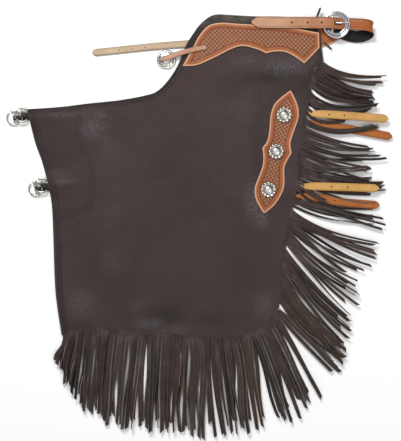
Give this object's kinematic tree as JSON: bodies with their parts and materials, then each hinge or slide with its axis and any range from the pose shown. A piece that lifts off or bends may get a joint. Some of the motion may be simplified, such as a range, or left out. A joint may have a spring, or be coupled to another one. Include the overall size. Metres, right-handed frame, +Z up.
{
  "type": "leather chaps",
  "caption": "Short leather chaps with long fringes, laid flat and folded leg over leg, with tooled yokes, conchos, a buckled back strap, thigh straps and spring snaps.",
  "frame": {"origin": "middle of the laid pair's box, on the surface it lies on", "axes": "+X towards the fringed side, +Y up the legs towards the waist, +Z up off the surface"},
  "size_m": [0.8479, 0.9465, 0.0242],
  "materials": {
    "leg_leather": "matte pebbled grain",
    "flesh_leather": "matte suede, the flesh side",
    "tooled_leather": "tooled basketweave, burnished border",
    "strap_grain": "smooth grain",
    "strap_flesh": "matte flesh side",
    "belt_leather": "smooth worn grain",
    "tab_leather": "matte",
    "silver": "satin silver with beaded rim",
    "buckle_chrome": "polished",
    "snap_nickel": "worn nickel"
  },
  "bodies": {
    "chaps": {"back_strap": "belt_leather", "buckle_chape": "belt_leather", "buckle_ring": "buckle_chrome", "buckle_tongue": "buckle_chrome", "concho_1": "silver", "concho_2": "silver", "concho_3": "silver", "concho_plate": "tooled_leather", "far_front_strap": "strap_flesh", "far_hem_fringe": "flesh_leather", "far_leg": "flesh_leather", "far_side_fringe": "flesh_leather", "far_snap_lower": "snap_nickel", "far_snap_lower_tab": "tab_leather", "far_snap_upper": "snap_nickel", "far_snap_upper_tab": "tab_leather", "far_strap_lower": "strap_flesh", "far_strap_upper": "strap_flesh", "far_yoke": "tooled_leather", "front_concho": "silver", "front_tie": "belt_leather", "lace_end_lower": "tab_leather", "lace_end_upper": "tab_leather", "near_hem_fringe": "leg_leather", "near_leg": "leg_leather", "near_side_fringe": "leg_leather", "near_snap_lower": "snap_nickel", "near_snap_lower_tab": "tab_leather", "near_snap_upper": "snap_nickel", "near_snap_upper_tab": "tab_leather", "near_strap_lower": "strap_grain", "near_strap_upper": "strap_grain", "near_yoke": "tooled_leather", "thigh_patch": "leg_leather"},
    "near_snap_upper_gate": {"near_snap_upper_gate": "snap_nickel"},
    "far_snap_upper_gate": {"far_snap_upper_gate": "snap_nickel"},
    "near_snap_lower_gate": {"near_snap_lower_gate": "snap_nickel"},
    "far_snap_lower_gate": {"far_snap_lower_gate": "snap_nickel"}
  },
  "joints": [
    {"name": "near_snap_upper_gate_hinge", "type": "hinge", "parent": "chaps", "child": "near_snap_upper_gate", "pos_m": [-0.40164, 0.22918, 0.0084], "axis": [0, 0, 1], "range_deg": [-15, 0], "stiffness_Nm_per_rad": 0.01},
    {"name": "far_snap_upper_gate_hinge", "type": "hinge", "parent": "chaps", "child": "far_snap_upper_gate", "pos_m": [-0.41963, 0.22318, 0.0034], "axis": [0, 0, 1], "range_deg": [-15, 0], "stiffness_Nm_per_rad": 0.01},
    {"name": "near_snap_lower_gate_hinge", "type": "hinge", "parent": "chaps", "child": "near_snap_lower_gate", "pos_m": [-0.35863, 0.07418, 0.0084], "axis": [0, 0, 1], "range_deg": [-15, 0], "stiffness_Nm_per_rad": 0.01},
    {"name": "far_snap_lower_gate_hinge", "type": "hinge", "parent": "chaps", "child": "far_snap_lower_gate", "pos_m": [-0.37163, 0.06718, 0.0034], "axis": [0, 0, 1], "range_deg": [-15, 0], "stiffness_Nm_per_rad": 0.01}
  ]
}
